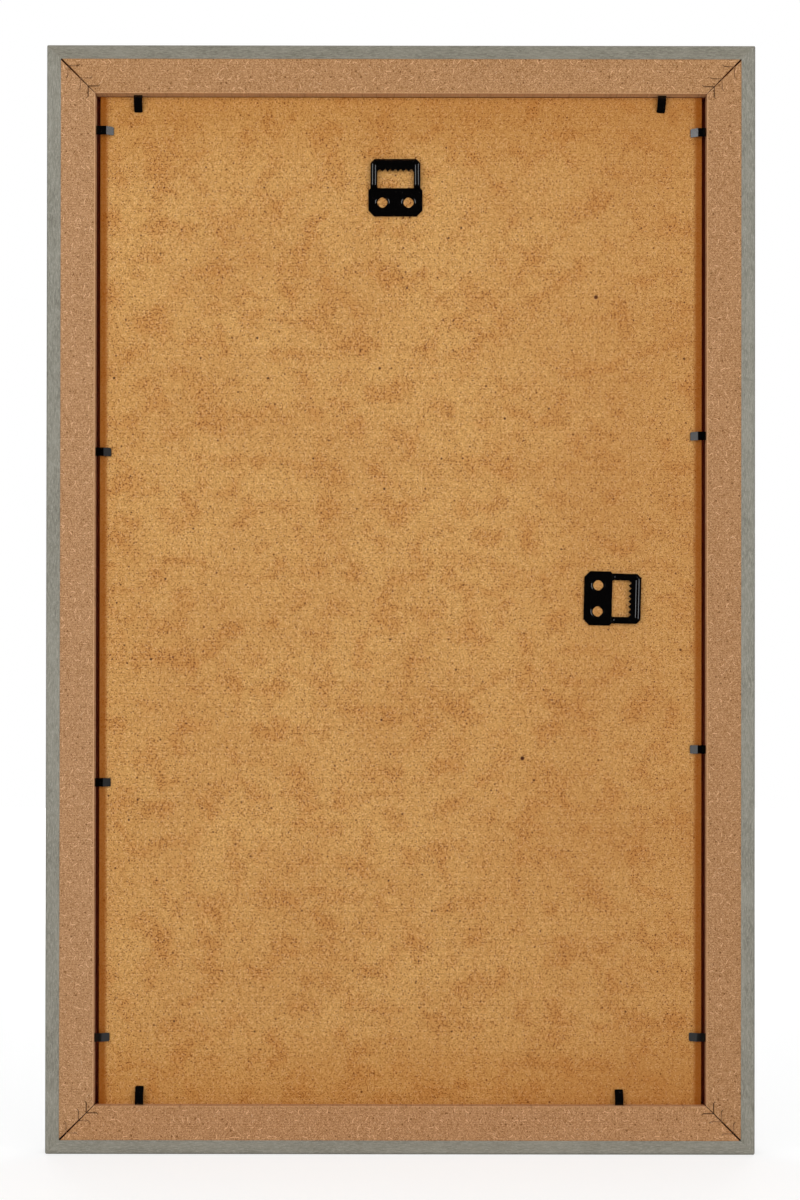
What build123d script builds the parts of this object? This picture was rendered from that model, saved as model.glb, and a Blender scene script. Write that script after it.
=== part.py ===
from build123d import *
import os
from math import cos, hypot, radians, sin

# Back-loading picture frame for 30 x 50 cm sheets, seen and named from behind:
# X runs to the right, Y runs from the back (towards the wall) to the front (glass),
# Z runs up, and the origin is under the middle of the bottom edge. Sizes in mm, angles in degrees.

os.makedirs("parts", exist_ok=True)

# Pack of glass, insert and backboard, and the room around it in the rebate
pack_width = 299.4
pack_height = 501.0
pack_side_gap = 1.875
pack_top_gap = 0.3
glass_thickness = 2.0
glass_seam = 0.3
insert_thickness = 0.3
board_thickness = 3.0
sheet_air = 0.05

# Moulding: a rebated fibreboard core with a foil wrapped round it and on to the back
rail_back_width = 23.95
lip_width = 6.5
lip_depth = 4.6
moulding_depth = 16.0
foil_thickness = 0.2
foil_return = 7.0
arris_radius = 1.2
corner_radius = 1.3

# Mitres stand a hair open in the core, more at the outer corner than at the inner one
mitre_gap_outer = 0.7
mitre_gap_inner = 0.05

# V nails: setbacks of the apex from the two outer faces of a corner
v_nail_setbacks = (10.5, 16.6, 20.5)
v_nail_wing = 5.0
v_nail_curl = 0.8
v_nail_thickness = 0.3
v_nail_height = 7.0
v_nail_sink = 0.3
v_nail_clearance = 0.03

# Retaining tabs: flat from the wall, then bent down to the backboard
tab_width = 4.2
tab_thickness = 0.5
tab_flat = 3.7
tab_tip = 4.4
tab_bend_angle = 28.0
tab_bend_radius = 1.2
tab_corner = 0.7
tab_board_gap = 0.1
tab_hinge_out = 0.5
tab_hinge_clearance = 0.05
shank_depth = 7.0
shank_point = 1.4
shank_barb = 0.45
shank_clearance = 0.05

# Tab places: setbacks from the ends of each rebate wall, and offsets from its middle
left_tab_setback_top = 17.4
left_tab_upper = 73.4
left_tab_lower = -90.8
left_tab_setback_bottom = 33.3
right_tab_setback_top = 18.1
right_tab_upper = 81.6
right_tab_lower = -74.1
right_tab_setback_bottom = 33.7
top_tab_setback_left = 20.8
top_tab_setback_right = 21.9
top_tab_skew = 4.0
bottom_tab_setback_left = 22.2
bottom_tab_setback_right = 42.8

# Tabs that were driven less deep or deeper than the rest, as the extra length they stand out
left_tab_1_standout = 1.0
left_tab_4_standout = -0.4
right_tab_4_standout = 0.4
top_tab_standout = 0.4
bottom_tab_1_standout = 1.4

# Stamped sawtooth hanger: a flat plate, a raised loop with a pressed bead, and a toothed crossbar
hanger_sheet = 0.9
hanger_plate_shoulder = 1.05
hanger_plate_height = 14.0
hanger_plate_chamfer = 2.9
hanger_loop_width = 24.8
hanger_loop_chamfer = 2.0
hanger_arm_width = 3.3
hanger_window_height = 9.4
hanger_window_round = 0.6
hanger_bar_width = 4.8
hanger_lift = 1.2
hanger_joggle = 0.6
hanger_bead_width = 2.5
hanger_bead_height = 0.5
hanger_bead_inset = 1.7
hanger_tooth_count = 8
hanger_tooth_pitch = 2.6
hanger_tooth_height = 1.4
hanger_hole_side = 4.85
hanger_hole_round = 2.1
hanger_hole_rim = 0.95
hanger_hole_dish = 0.6
hanger_hole_land = 0.25
hanger_hole_land_drop = 0.105
hanger_hole_spacing = 13.0
hanger_hole_height = 7.0
hanger_claw_width = 2.2
hanger_claw_thickness = 0.6
hanger_claw_depth = 2.0
hanger_claw_taper = 6.0
hanger_claw_clearance = 0.05
top_hanger_drop = 31.5
top_hanger_offset = -2.8
side_hanger_drop = 32.2
side_hanger_offset = 1.15
side_hanger_skew = 1.3

# Sizes that follow from those above
opening_width = pack_width + 2 * pack_side_gap
opening_height = pack_height + pack_top_gap
outer_width = opening_width + 2 * rail_back_width
outer_height = opening_height + 2 * rail_back_width
moulding_width = rail_back_width + lip_width
mid_z = outer_height / 2
back_y = -moulding_depth / 2

# Depths from the back plane
ledge_depth = moulding_depth - lip_depth
insert_depth = ledge_depth - glass_thickness - sheet_air
board_front_depth = insert_depth - insert_thickness - sheet_air
board_back_depth = board_front_depth - board_thickness

# Each wall of the frame, as a plane on its outer face at the back: x inwards, y forwards, z along the rail
side_planes = {
    "left": Plane((-outer_width / 2, back_y, mid_z), x_dir=(1, 0, 0), z_dir=(0, 0, 1)),
    "right": Plane((outer_width / 2, back_y, mid_z), x_dir=(-1, 0, 0), z_dir=(0, 0, -1)),
    "top": Plane((0, back_y, outer_height), x_dir=(0, 0, -1), z_dir=(1, 0, 0)),
    "bottom": Plane((0, back_y, 0), x_dir=(0, 0, 1), z_dir=(-1, 0, 0)),
}
side_length = {"left": outer_height, "right": outer_height, "top": outer_width, "bottom": outer_width}

# The back plane as seen from behind: x to the right, y up, z out of the back
back_plane = Plane((0, back_y, mid_z), x_dir=(1, 0, 0), z_dir=(0, -1, 0))

# Tabs of each wall, as (place along the rail's own z, skew, extra length standing out)
half_opening_height = opening_height / 2
half_opening_width = opening_width / 2
side_tabs = {
    "left": [
        (half_opening_height - left_tab_setback_top, 0, left_tab_1_standout),
        (left_tab_upper, 0, 0),
        (left_tab_lower, 0, 0),
        (left_tab_setback_bottom - half_opening_height, 0, left_tab_4_standout),
    ],
    "right": [
        (right_tab_setback_top - half_opening_height, 0, 0),
        (-right_tab_upper, 0, 0),
        (-right_tab_lower, 0, 0),
        (half_opening_height - right_tab_setback_bottom, 0, right_tab_4_standout),
    ],
    "top": [
        (top_tab_setback_left - half_opening_width, 0, top_tab_standout),
        (half_opening_width - top_tab_setback_right, top_tab_skew, top_tab_standout),
    ],
    "bottom": [
        (half_opening_width - bottom_tab_setback_left, 0, bottom_tab_1_standout),
        (bottom_tab_setback_right - half_opening_width, 0, 0),
    ],
}

# Bent tip of a tab's centre line, and the level at which the tab leaves the wall
tab_tip_run = (tab_tip - tab_thickness / 2) * cos(radians(tab_bend_angle))
tab_end_drop = (tab_tip - tab_thickness / 2) * sin(radians(tab_bend_angle))
tab_depth = board_back_depth - tab_board_gap - tab_thickness / 2 - tab_end_drop


def tab_plane(side, along, skew):
    """Plane on a tab's bend axis: x inwards, y towards the backboard, z along the axis."""
    wall = side_planes[side]
    origin = wall.from_local_coords((rail_back_width + tab_hinge_out, tab_depth, along))
    turn = radians(skew)
    inwards = wall.x_dir * cos(turn) - wall.z_dir * sin(turn)
    lengthwise = wall.z_dir * cos(turn) + wall.x_dir * sin(turn)
    return Plane(origin, x_dir=inwards, z_dir=lengthwise)


def plan_plane(plane):
    """The same place looked at square to the backboard: x inwards, y along the bend axis."""
    return Plane(plane.origin, x_dir=plane.x_dir, z_dir=-plane.y_dir)


def mitre_planes(side, gap_outer, gap_inner):
    """The two mitre cuts of a rail, drawn back from the true mitre by a gap at each end of the cut."""
    wall = side_planes[side]
    half = side_length[side] / 2
    planes = []
    for end in (1, -1):
        corner = wall.from_local_coords((0, 0, end * (half - gap_outer)))
        normal = wall.x_dir * (moulding_width - gap_outer + gap_inner) + wall.z_dir * (end * moulding_width)
        planes.append(Plane(corner, z_dir=normal))
    return planes


def foil_seat():
    """The core's outline under the foil, from the edge of the back return round to the sight edge."""
    return FilletPolyline(
        (foil_return, foil_thickness),
        (foil_thickness, foil_thickness),
        (foil_thickness, moulding_depth - foil_thickness),
        (moulding_width - foil_thickness, moulding_depth - foil_thickness),
        (moulding_width - foil_thickness, ledge_depth),
        radius=arris_radius,
    )


def draw_v_nails(thickness):
    """Outlines of all V nails on the back: two wings along the rails, each ending in an outward curl."""
    for side_x in (-1, 1):
        for side_y in (-1, 1):
            for setback in v_nail_setbacks:
                x = side_x * (outer_width / 2 - setback)
                y = side_y * (outer_height / 2 - setback)
                with BuildLine() as outline:
                    Polyline(
                        (x - side_x * (v_nail_wing + v_nail_curl), y + side_y * v_nail_curl),
                        (x - side_x * v_nail_wing, y),
                        (x, y),
                        (x, y - side_y * v_nail_wing),
                        (x + side_x * v_nail_curl, y - side_y * (v_nail_wing + v_nail_curl)),
                    )
                    offset(amount=thickness / 2)
                make_face(outline.edges())


def draw_claws(clearance):
    """Roots of the four claws round each hole of a hanger."""
    claw_ring = (hanger_hole_side + hanger_claw_thickness) / 2
    half_spacing = hanger_hole_spacing / 2
    with Locations((-half_spacing, hanger_hole_height), (half_spacing, hanger_hole_height)):
        with PolarLocations(claw_ring, 4, start_angle=45):
            Rectangle(hanger_claw_thickness + 2 * clearance, hanger_claw_width + 2 * clearance)


def make_rail(side):
    """Fibreboard core of one rail: rebated profile, mitred ends, slits for the shanks and the V nails."""
    with BuildPart() as rail:
        with BuildSketch(side_planes[side]):
            with BuildLine():
                seat = foil_seat()
                Polyline(
                    seat @ 1,
                    (rail_back_width, ledge_depth),
                    (rail_back_width, foil_thickness),
                    seat @ 0,
                )
            make_face()
        extrude(amount=side_length[side] / 2, both=True)
        for mitre in mitre_planes(side, mitre_gap_outer, mitre_gap_inner):
            split(bisect_by=mitre, keep=Keep.BOTTOM)
        with BuildSketch(back_plane):
            RectangleRounded(
                outer_width - 2 * foil_thickness,
                outer_height - 2 * foil_thickness,
                corner_radius - foil_thickness,
            )
        extrude(amount=-moulding_depth, mode=Mode.INTERSECT)
        for along, skew, standout in side_tabs[side]:
            slit_length = tab_hinge_out + shank_depth - standout + shank_clearance
            with BuildSketch(plan_plane(tab_plane(side, along, skew))):
                Rectangle(slit_length, tab_width + 2 * shank_clearance, align=(Align.MAX, Align.CENTER))
            extrude(amount=tab_thickness / 2 + shank_clearance, both=True, mode=Mode.SUBTRACT)
        with BuildSketch(back_plane):
            draw_v_nails(v_nail_thickness + 2 * v_nail_clearance)
        extrude(amount=-(foil_thickness + v_nail_sink + v_nail_height), mode=Mode.SUBTRACT)
    rail.part.label = f"{side}_rail"
    return rail.part


def make_foil(side):
    """Foil of one rail, from the band on the back round the outside and the front to the sight edge."""
    with BuildPart() as foil:
        with BuildSketch(side_planes[side]):
            with BuildLine():
                foil_seat()
                offset(amount=foil_thickness, side=Side.LEFT)
            make_face()
        extrude(amount=side_length[side] / 2, both=True)
        for mitre in mitre_planes(side, 0, 0):
            split(bisect_by=mitre, keep=Keep.BOTTOM)
        with BuildSketch(back_plane):
            RectangleRounded(outer_width, outer_height, corner_radius)
        extrude(amount=-moulding_depth, mode=Mode.INTERSECT)
    foil.part.label = f"{side}_foil"
    return foil.part


def make_shanks(side):
    """Barbed shanks of one rail's tabs, driven into the rebate wall, each up to its tab's bend."""
    half_width = tab_width / 2
    outer_end = -(tab_thickness / 2 + tab_hinge_clearance)
    with BuildPart() as shanks:
        for along, skew, standout in side_tabs[side]:
            inner_end = -(tab_hinge_out + shank_depth - standout)
            first_barb = inner_end + shank_depth / 2
            second_barb = inner_end + shank_depth / 4
            half_outline = [
                (outer_end, half_width),
                (first_barb, half_width),
                (first_barb, half_width - shank_barb),
                (second_barb, half_width),
                (second_barb, half_width - shank_barb),
                (inner_end, half_width - shank_point),
            ]
            other_half = [(x, -y) for x, y in reversed(half_outline)]
            with BuildSketch(plan_plane(tab_plane(side, along, skew))):
                with BuildLine():
                    Polyline(*half_outline, *other_half, close=True)
                make_face()
            extrude(amount=tab_thickness / 2, both=True)
    shanks.part.label = f"{side}_tab_shanks"
    return shanks.part


def make_tab(name, plane, standout):
    """One bendable tab: a strip bent down to the backboard, with a round root and a rounded tip."""
    bend_x = tab_flat - tab_hinge_out + standout
    end_x = bend_x + tab_tip_run
    with BuildPart() as tab:
        with BuildSketch(plane):
            with BuildLine():
                FilletPolyline((0, 0), (bend_x, 0), (end_x, tab_end_drop), radius=tab_bend_radius)
                offset(amount=tab_thickness / 2)
            make_face()
        extrude(amount=tab_width / 2, both=True)
        with BuildSketch(plan_plane(plane)) as plan:
            with Locations((-tab_thickness, 0)):
                Rectangle(
                    end_x + 1.5 * tab_thickness,
                    tab_width,
                    align=(Align.MIN, Align.CENTER),
                )
            fillet(plan.vertices().group_by(Axis.X)[-1], radius=tab_corner)
        extrude(amount=board_back_depth, both=True, mode=Mode.INTERSECT)
    tab.part.label = name
    return tab.part


def add_bead(plane, mode):
    """A rounded ridge along the arms and the crossbar, on a level of the loop, with a dome at each foot."""
    arm_x = hanger_loop_width / 2 - hanger_bead_inset
    bar_y = hanger_plate_height + hanger_window_height + hanger_bar_width - hanger_bead_inset
    half_width = hanger_bead_width / 2
    foot_y = hanger_plate_height + hanger_joggle + half_width
    corner = hanger_loop_chamfer - hanger_bead_inset * (2 - 2**0.5)
    with BuildLine(plane) as route:
        Polyline(
            (-arm_x, foot_y),
            (-arm_x, bar_y - corner),
            (corner - arm_x, bar_y),
            (arm_x - corner, bar_y),
            (arm_x, bar_y - corner),
            (arm_x, foot_y),
        )
    start = plane.from_local_coords((-arm_x, foot_y, 0))
    with BuildSketch(Plane(start, x_dir=plane.x_dir, z_dir=plane.y_dir)) as section:
        with BuildLine():
            ThreePointArc((-half_width, 0), (0, -hanger_bead_height), (half_width, 0))
            Line((half_width, 0), (-half_width, 0))
        make_face()
    sweep(section.sketch, path=route.wire(), transition=Transition.RIGHT, mode=mode)
    for side_x in (-1, 1):
        foot = plane.from_local_coords((side_x * arm_x, foot_y, 0))
        with BuildSketch(Plane(foot, x_dir=plane.x_dir, z_dir=plane.y_dir)) as half_section:
            add(section.sketch_local)
            Rectangle(
                half_width,
                hanger_bead_height,
                align=(Align.MIN, Align.MAX),
                mode=Mode.INTERSECT,
            )
        revolve(half_section.sketch, axis=Axis(foot, plane.z_dir), mode=mode)


def make_hanger(name, plane):
    """A stamped hanger on the backboard: x across, y from the foot of the plate to the crossbar, z outwards."""
    half_loop = hanger_loop_width / 2
    half_plate = half_loop + hanger_plate_shoulder
    window_width = hanger_loop_width - 2 * hanger_arm_width
    root_y = hanger_plate_height + hanger_window_height
    top_y = root_y + hanger_bar_width
    joggle_top = hanger_plate_height + hanger_joggle
    joggle_back = hanger_sheet * (hypot(hanger_joggle, hanger_lift) - hanger_joggle) / hanger_lift
    with BuildPart() as hanger:
        # The flat plate
        with BuildSketch(plane):
            with BuildLine():
                Polyline(
                    (hanger_plate_chamfer - half_plate, 0),
                    (half_plate - hanger_plate_chamfer, 0),
                    (half_plate, hanger_plate_chamfer),
                    (half_plate, hanger_plate_height - hanger_plate_shoulder),
                    (half_loop, hanger_plate_height),
                    (-half_loop, hanger_plate_height),
                    (-half_plate, hanger_plate_height - hanger_plate_shoulder),
                    (-half_plate, hanger_plate_chamfer),
                    close=True,
                )
            make_face()
        extrude(amount=hanger_sheet)
        # The raised loop, with its window and teeth
        with BuildSketch(plane.offset(hanger_lift)):
            with BuildLine():
                Polyline(
                    (-half_loop, joggle_top),
                    (half_loop, joggle_top),
                    (half_loop, top_y - hanger_loop_chamfer),
                    (half_loop - hanger_loop_chamfer, top_y),
                    (hanger_loop_chamfer - half_loop, top_y),
                    (-half_loop, top_y - hanger_loop_chamfer),
                    close=True,
                )
            make_face()
            with Locations((0, root_y)):
                Rectangle(
                    window_width,
                    hanger_window_height,
                    align=(Align.CENTER, Align.MAX),
                    mode=Mode.SUBTRACT,
                )
            with Locations((0, root_y)):
                with GridLocations(hanger_tooth_pitch, 0, hanger_tooth_count, 1):
                    Polygon(
                        (-hanger_tooth_pitch / 2, 0),
                        (hanger_tooth_pitch / 2, 0),
                        (0, -hanger_tooth_height),
                        align=(Align.CENTER, Align.MAX),
                    )
        extrude(amount=hanger_sheet)
        # The joggles that raise the arms off the plate, as thick as the sheet
        for side_x in (-1, 1):
            arm_centre = plane.from_local_coords((side_x * (half_loop - hanger_arm_width / 2), 0, 0))
            with BuildSketch(Plane(arm_centre, x_dir=plane.y_dir, z_dir=plane.x_dir)):
                with BuildLine():
                    Polyline(
                        (hanger_plate_height - joggle_back, 0),
                        (hanger_plate_height, 0),
                        (joggle_top, hanger_lift),
                        (joggle_top, hanger_lift + hanger_sheet),
                        (joggle_top - joggle_back, hanger_lift + hanger_sheet),
                        (hanger_plate_height - joggle_back, hanger_sheet),
                        close=True,
                    )
                make_face()
            extrude(amount=hanger_arm_width / 2, both=True)
        # The rounded lower corners of the window
        with BuildSketch(plane):
            for side_x, towards_arm in ((-1, Align.MIN), (1, Align.MAX)):
                with Locations((side_x * window_width / 2, hanger_plate_height)):
                    Rectangle(hanger_window_round, hanger_window_round, align=(towards_arm, Align.MIN))
                round_x = side_x * (window_width / 2 - hanger_window_round)
                with Locations((round_x, hanger_plate_height + hanger_window_round)):
                    Circle(hanger_window_round, mode=Mode.SUBTRACT)
        extrude(amount=hanger_sheet)
        # The bead, pressed up from below
        add_bead(plane.offset(hanger_lift + hanger_sheet), Mode.ADD)
        add_bead(plane.offset(hanger_lift), Mode.SUBTRACT)
        # The claws, and the dished holes that they were folded down from
        with BuildSketch(plane):
            draw_claws(0)
        extrude(amount=-hanger_claw_depth, taper=hanger_claw_taper)
        for side_x in (-1, 1):
            hole = plane.from_local_coords((side_x * hanger_hole_spacing / 2, hanger_hole_height, 0))
            hole_plane = Plane(hole, x_dir=plane.x_dir, z_dir=plane.z_dir)
            for rim, drop in (
                (hanger_hole_rim, 0),
                (hanger_hole_rim - hanger_hole_land, hanger_hole_land_drop),
                (0, hanger_hole_dish),
            ):
                rim_side = hanger_hole_side + 2 * rim
                with BuildSketch(hole_plane.offset(hanger_sheet - drop)):
                    RectangleRounded(rim_side, rim_side, hanger_hole_round + rim, rotation=45)
            loft(ruled=True, mode=Mode.SUBTRACT)
            with BuildSketch(hole_plane):
                RectangleRounded(hanger_hole_side, hanger_hole_side, hanger_hole_round, rotation=45)
            extrude(amount=hanger_sheet, mode=Mode.SUBTRACT)
    hanger.part.label = name
    return hanger.part


def make_sheet(name, front_depth, thickness):
    """One sheet of the pack, standing on the bottom wall of the rebate."""
    centre = (0, back_y + front_depth, rail_back_width + pack_height / 2)
    with BuildPart() as sheet:
        with BuildSketch(Plane(centre, x_dir=(1, 0, 0), z_dir=(0, -1, 0))):
            Rectangle(pack_width, pack_height)
        extrude(amount=thickness)
        if name == "glass_pane":
            chamfer(sheet.edges().filter_by(Axis.Y, reverse=True), length=glass_seam)
        if name == "backboard":
            for plane in hanger_planes.values():
                with BuildSketch(plane):
                    draw_claws(hanger_claw_clearance)
                extrude(amount=-(hanger_claw_depth + hanger_claw_clearance), mode=Mode.SUBTRACT)
    sheet.part.label = name
    return sheet.part


def make_v_nails():
    """The V nails of all corners, sunk below the back of the core."""
    with BuildPart() as v_nails:
        with BuildSketch(back_plane.offset(-(foil_thickness + v_nail_sink))):
            draw_v_nails(v_nail_thickness)
        extrude(amount=-v_nail_height)
    v_nails.part.label = "v_nails"
    return v_nails.part


# Hangers stand on the backboard, one for each way of hanging the frame
board_back_y = back_y + board_back_depth
hanger_height = hanger_plate_height + hanger_window_height + hanger_bar_width
wall_top = outer_height - rail_back_width
wall_right = outer_width / 2 - rail_back_width
hanger_planes = {
    "top_hanger": Plane(
        (top_hanger_offset, board_back_y, wall_top - top_hanger_drop - hanger_height),
        x_dir=(1, 0, 0),
        z_dir=(0, -1, 0),
    ),
    "side_hanger": Plane(
        (wall_right - side_hanger_drop - hanger_height, board_back_y, mid_z + side_hanger_offset),
        x_dir=(-sin(radians(side_hanger_skew)), 0, -cos(radians(side_hanger_skew))),
        z_dir=(0, -1, 0),
    ),
}

pieces = [make_v_nails()]
for side in side_planes:
    pieces.append(make_rail(side))
    pieces.append(make_foil(side))
    pieces.append(make_shanks(side))
    for number, (along, skew, standout) in enumerate(side_tabs[side], start=1):
        pieces.append(make_tab(f"{side}_tab_{number}", tab_plane(side, along, skew), standout))
for name, plane in hanger_planes.items():
    pieces.append(make_hanger(name, plane))
pieces.append(make_sheet("glass_pane", ledge_depth, glass_thickness))
pieces.append(make_sheet("paper_insert", insert_depth, insert_thickness))
pieces.append(make_sheet("backboard", board_front_depth, board_thickness))

for piece in pieces:
    export_step(piece, f"parts/{piece.label}.step")
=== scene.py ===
# %% [markdown]
# # The back of a picture frame
# The frame lies open to view from behind: a mitred moulding of raw fibreboard, wrapped in grey foil
# that is turned over on to the back, a pressed hardboard sheet held by bendable steel tabs, and two
# stamped sawtooth hangers. The construction comes packed and fixed. This lesson gives each surface its
# finish, adds the loose fibres that a saw leaves on raw board, and sets up a plain studio.

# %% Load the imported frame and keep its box
import bpy
import numpy as np
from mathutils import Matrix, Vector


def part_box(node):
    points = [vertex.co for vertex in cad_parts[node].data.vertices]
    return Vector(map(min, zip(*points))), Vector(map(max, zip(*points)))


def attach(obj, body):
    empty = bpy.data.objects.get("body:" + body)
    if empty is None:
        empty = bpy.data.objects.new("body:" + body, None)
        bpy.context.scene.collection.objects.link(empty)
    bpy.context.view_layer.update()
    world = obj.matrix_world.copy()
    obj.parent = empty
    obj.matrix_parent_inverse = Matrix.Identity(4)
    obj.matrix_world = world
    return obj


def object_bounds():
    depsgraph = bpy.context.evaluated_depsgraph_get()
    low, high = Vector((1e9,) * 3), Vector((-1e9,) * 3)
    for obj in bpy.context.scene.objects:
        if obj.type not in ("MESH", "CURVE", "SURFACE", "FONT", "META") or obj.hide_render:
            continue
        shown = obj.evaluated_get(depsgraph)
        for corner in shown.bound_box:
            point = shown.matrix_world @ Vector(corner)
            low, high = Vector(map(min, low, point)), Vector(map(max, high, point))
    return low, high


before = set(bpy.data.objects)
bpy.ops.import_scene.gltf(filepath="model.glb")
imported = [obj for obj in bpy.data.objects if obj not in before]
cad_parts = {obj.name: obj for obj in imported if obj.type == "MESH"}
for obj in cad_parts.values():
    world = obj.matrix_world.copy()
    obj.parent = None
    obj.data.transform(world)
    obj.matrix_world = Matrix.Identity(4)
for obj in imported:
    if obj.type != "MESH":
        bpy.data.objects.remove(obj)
cad_low, cad_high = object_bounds()
MM = 0.001
board_low, board_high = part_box("backboard")
core_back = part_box("left_rail")[0].y
board_back = board_low.y
middle_height = (cad_low.z + cad_high.z) / 2
print("CAD box in mm:", [round(size / MM, 2) for size in cad_high - cad_low])

# %% [markdown]
# ## Small tools for shader trees
# A finish is a tree of nodes. Building one by hand takes a new node, some settings and some links, over
# and over, so a few short helpers do just that. A colour is written as the screen values one would read
# off a picture, because those are easy to compare, and is turned into the linear values shaders use.

# %% Helpers that place nodes
def tone(red, green, blue):
    """A colour from 8-bit screen values, as linear red, green, blue and alpha."""
    screen = np.array([red, green, blue]) / 255
    linear = np.where(screen <= 0.04045, screen / 12.92, ((screen + 0.055) / 1.055) ** 2.4)
    return (*linear.tolist(), 1.0)


def stepped(body, step):
    """A body colour in screen values, made lighter or darker by the same step in all three."""
    return tone(*np.clip(np.array(body) + step, 0, 255))


def place(tree, kind, inputs, **settings):
    """Add one node, set its properties, then set or link each input given by name or number."""
    made = tree.nodes.new(kind)
    for name, value in settings.items():
        setattr(made, name, value)
    for name, value in inputs.items():
        if isinstance(value, bpy.types.NodeSocket):
            tree.links.new(value, made.inputs[name])
        else:
            made.inputs[name].default_value = value
    return made


def calc(tree, operation, first, second=0.0):
    """One sum on two values."""
    return place(tree, "ShaderNodeMath", {0: first, 1: second}, operation=operation).outputs[0]


def fade(tree, value, start, end):
    """A smooth mask: 0 where the value is at start, 1 where it is at end."""
    inputs = {"Value": value, "From Min": start, "From Max": end}
    return place(tree, "ShaderNodeMapRange", inputs, interpolation_type="SMOOTHSTEP").outputs["Result"]


def lay(tree, mask, under, over):
    """One colour laid over another through a mask."""
    inputs = {0: mask, 6: under, 7: over}
    return place(tree, "ShaderNodeMix", inputs, data_type="RGBA").outputs[2]


def tint(tree, under, mask, strength, over):
    """One colour laid over another through a mask, at part strength."""
    return lay(tree, calc(tree, "MULTIPLY", mask, strength), under, over)


def new_group(name, inputs, outputs):
    """An empty shader group; gives its tree, the sockets that come in and the sockets that go out."""
    tree = bpy.data.node_groups.new(name, "ShaderNodeTree")
    for title, value in inputs.items():
        kind = "NodeSocketVector" if value is None else "NodeSocketFloat"
        socket = tree.interface.new_socket(title, in_out="INPUT", socket_type=kind)
        if value is not None:
            socket.default_value = value
    for title in outputs:
        tree.interface.new_socket(title, in_out="OUTPUT", socket_type="NodeSocketFloat")
    given = tree.nodes.new("NodeGroupInput").outputs
    result = tree.nodes.new("NodeGroupOutput").inputs
    return tree, given, result


def back_plane_point(tree, vector):
    """The point seen square from behind: across on x, up on y, and no depth."""
    parts = place(tree, "ShaderNodeSeparateXYZ", {"Vector": vector}).outputs
    return place(tree, "ShaderNodeCombineXYZ", {"X": parts["X"], "Y": parts["Z"]}).outputs["Vector"]


print("shader helpers ready")

# %% [markdown]
# ## Fibre flecks
# Both boards are pressed from wood fibre, and single pale or dark fibres show as short bowed strokes. A
# drawn texture could hold them, but it would have to be unwrapped. Here a Voronoi pattern cuts the face
# into cells, and each cell draws at most one stroke through its own point: turned by the cell's red
# value, bowed by its blue value, and left out when its green value is above the share.

# %% The fleck group
def make_fleck_group():
    """Mask of bowed strokes, with u along a stroke and v across it, both in cells.

    A point is on its cell's stroke where |u| < Length and |v - bow u u| < Width, and the stroke is at
    full strength where they are below the shares full_length and full_width of those limits.
    """
    bow_range = 3.0
    full_length = 0.6
    full_width = 0.3
    inputs = {"Vector": None, "Cell": 0.004, "Length": 0.35, "Width": 0.06, "Share": 0.5}
    tree, given, result = new_group("fibre_flecks", inputs, ["Mask"])
    flat = back_plane_point(tree, given["Vector"])
    per_metre = calc(tree, "DIVIDE", 1.0, given["Cell"])
    cells = place(
        tree,
        "ShaderNodeTexVoronoi",
        {"Vector": flat, "Scale": per_metre, "Randomness": 0.85},
        voronoi_dimensions="2D",
    ).outputs
    draw = place(tree, "ShaderNodeSeparateColor", {"Color": cells["Color"]}).outputs
    offset = place(
        tree,
        "ShaderNodeVectorMath",
        {0: flat, 1: cells["Position"]},
        operation="SUBTRACT",
    ).outputs["Vector"]
    in_cells = place(
        tree,
        "ShaderNodeVectorMath",
        {"Vector": offset, "Scale": per_metre},
        operation="SCALE",
    ).outputs["Vector"]
    angle = calc(tree, "MULTIPLY", draw["Red"], 2 * np.pi)
    turned = place(
        tree,
        "ShaderNodeVectorRotate",
        {"Vector": in_cells, "Angle": angle},
        rotation_type="Z_AXIS",
    ).outputs["Vector"]
    local = place(tree, "ShaderNodeSeparateXYZ", {"Vector": turned}).outputs
    bow = calc(tree, "MULTIPLY", calc(tree, "SUBTRACT", draw["Blue"], 0.5), bow_range)
    bowed = calc(tree, "MULTIPLY", bow, calc(tree, "MULTIPLY", local["X"], local["X"]))
    across = calc(tree, "ABSOLUTE", calc(tree, "SUBTRACT", local["Y"], bowed))
    along = calc(tree, "ABSOLUTE", local["X"])
    body = fade(tree, across, given["Width"], calc(tree, "MULTIPLY", given["Width"], full_width))
    ends = fade(tree, along, given["Length"], calc(tree, "MULTIPLY", given["Length"], full_length))
    kept = calc(tree, "LESS_THAN", draw["Green"], given["Share"])
    mask = calc(tree, "MULTIPLY", calc(tree, "MULTIPLY", body, ends), kept)
    tree.links.new(mask, result["Mask"])
    return tree


fleck_group = make_fleck_group()
print("group:", fleck_group.name, "with", len(fleck_group.nodes), "nodes")
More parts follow.
